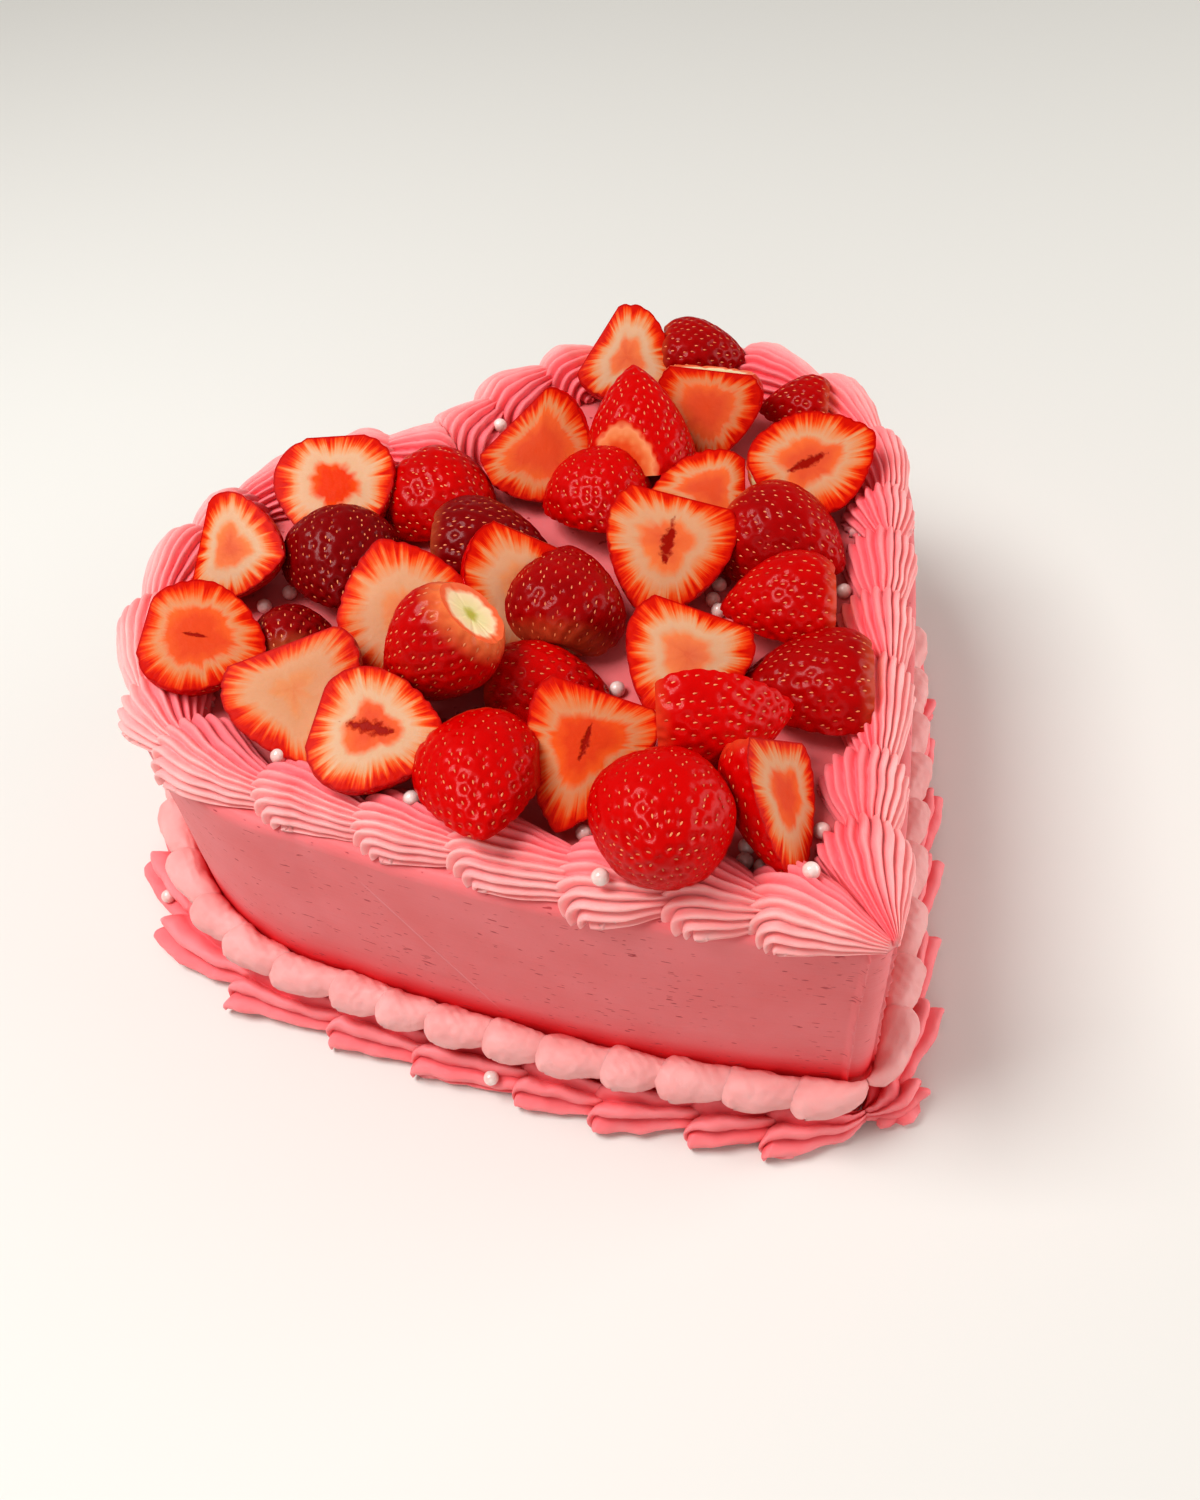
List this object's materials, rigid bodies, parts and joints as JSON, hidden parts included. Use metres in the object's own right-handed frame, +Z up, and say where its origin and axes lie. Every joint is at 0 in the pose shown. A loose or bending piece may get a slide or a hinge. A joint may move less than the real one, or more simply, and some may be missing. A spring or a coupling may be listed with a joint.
{
  "type": "anniversary cake",
  "caption": "Heart-shaped frosted layer cake with piped shell and bead borders, halved strawberries heaped on top and sugar pearls.",
  "frame": {"origin": "on the surface that the cake stands on, at the middle of its outline seen from above", "axes": "+Z up, -Y towards the heart's tip, +X towards the lobe on the right when the tip points at the viewer"},
  "size_m": [0.254, 0.2446, 0.1196],
  "materials": {
    "body_frosting": "smoothed buttercream, satin",
    "top_shell_frosting": "piped buttercream, satin",
    "bead_frosting": "piped buttercream, satin",
    "base_shell_frosting": "piped buttercream, satin",
    "strawberry": "fresh strawberry, wet gloss",
    "sugar_pearl": "pearl lustre sugar"
  },
  "bodies": {
    "root": {"cake_body": "body_frosting", "top_shells_left": "top_shell_frosting", "top_shells_right": "top_shell_frosting", "bead_border_left": "bead_frosting", "bead_border_right": "bead_frosting", "base_shells_left": "base_shell_frosting", "base_shells_right": "base_shell_frosting", "strawberry_01": "strawberry", "strawberry_02": "strawberry", "strawberry_03": "strawberry", "strawberry_04": "strawberry", "strawberry_05": "strawberry", "strawberry_06": "strawberry", "strawberry_07": "strawberry", "strawberry_08": "strawberry", "strawberry_09": "strawberry", "strawberry_10": "strawberry", "strawberry_11": "strawberry", "strawberry_12": "strawberry", "strawberry_13": "strawberry", "strawberry_14": "strawberry", "strawberry_15": "strawberry", "strawberry_16": "strawberry", "strawberry_17": "strawberry", "strawberry_18": "strawberry", "strawberry_19": "strawberry", "strawberry_20": "strawberry", "strawberry_21": "strawberry", "strawberry_22": "strawberry", "strawberry_23": "strawberry", "strawberry_24": "strawberry", "strawberry_25": "strawberry", "strawberry_26": "strawberry", "strawberry_27": "strawberry", "strawberry_28": "strawberry", "strawberry_29": "strawberry", "strawberry_30": "strawberry", "strawberry_31": "strawberry", "strawberry_32": "strawberry", "strawberry_33": "strawberry"}
  },
  "joints": []
}
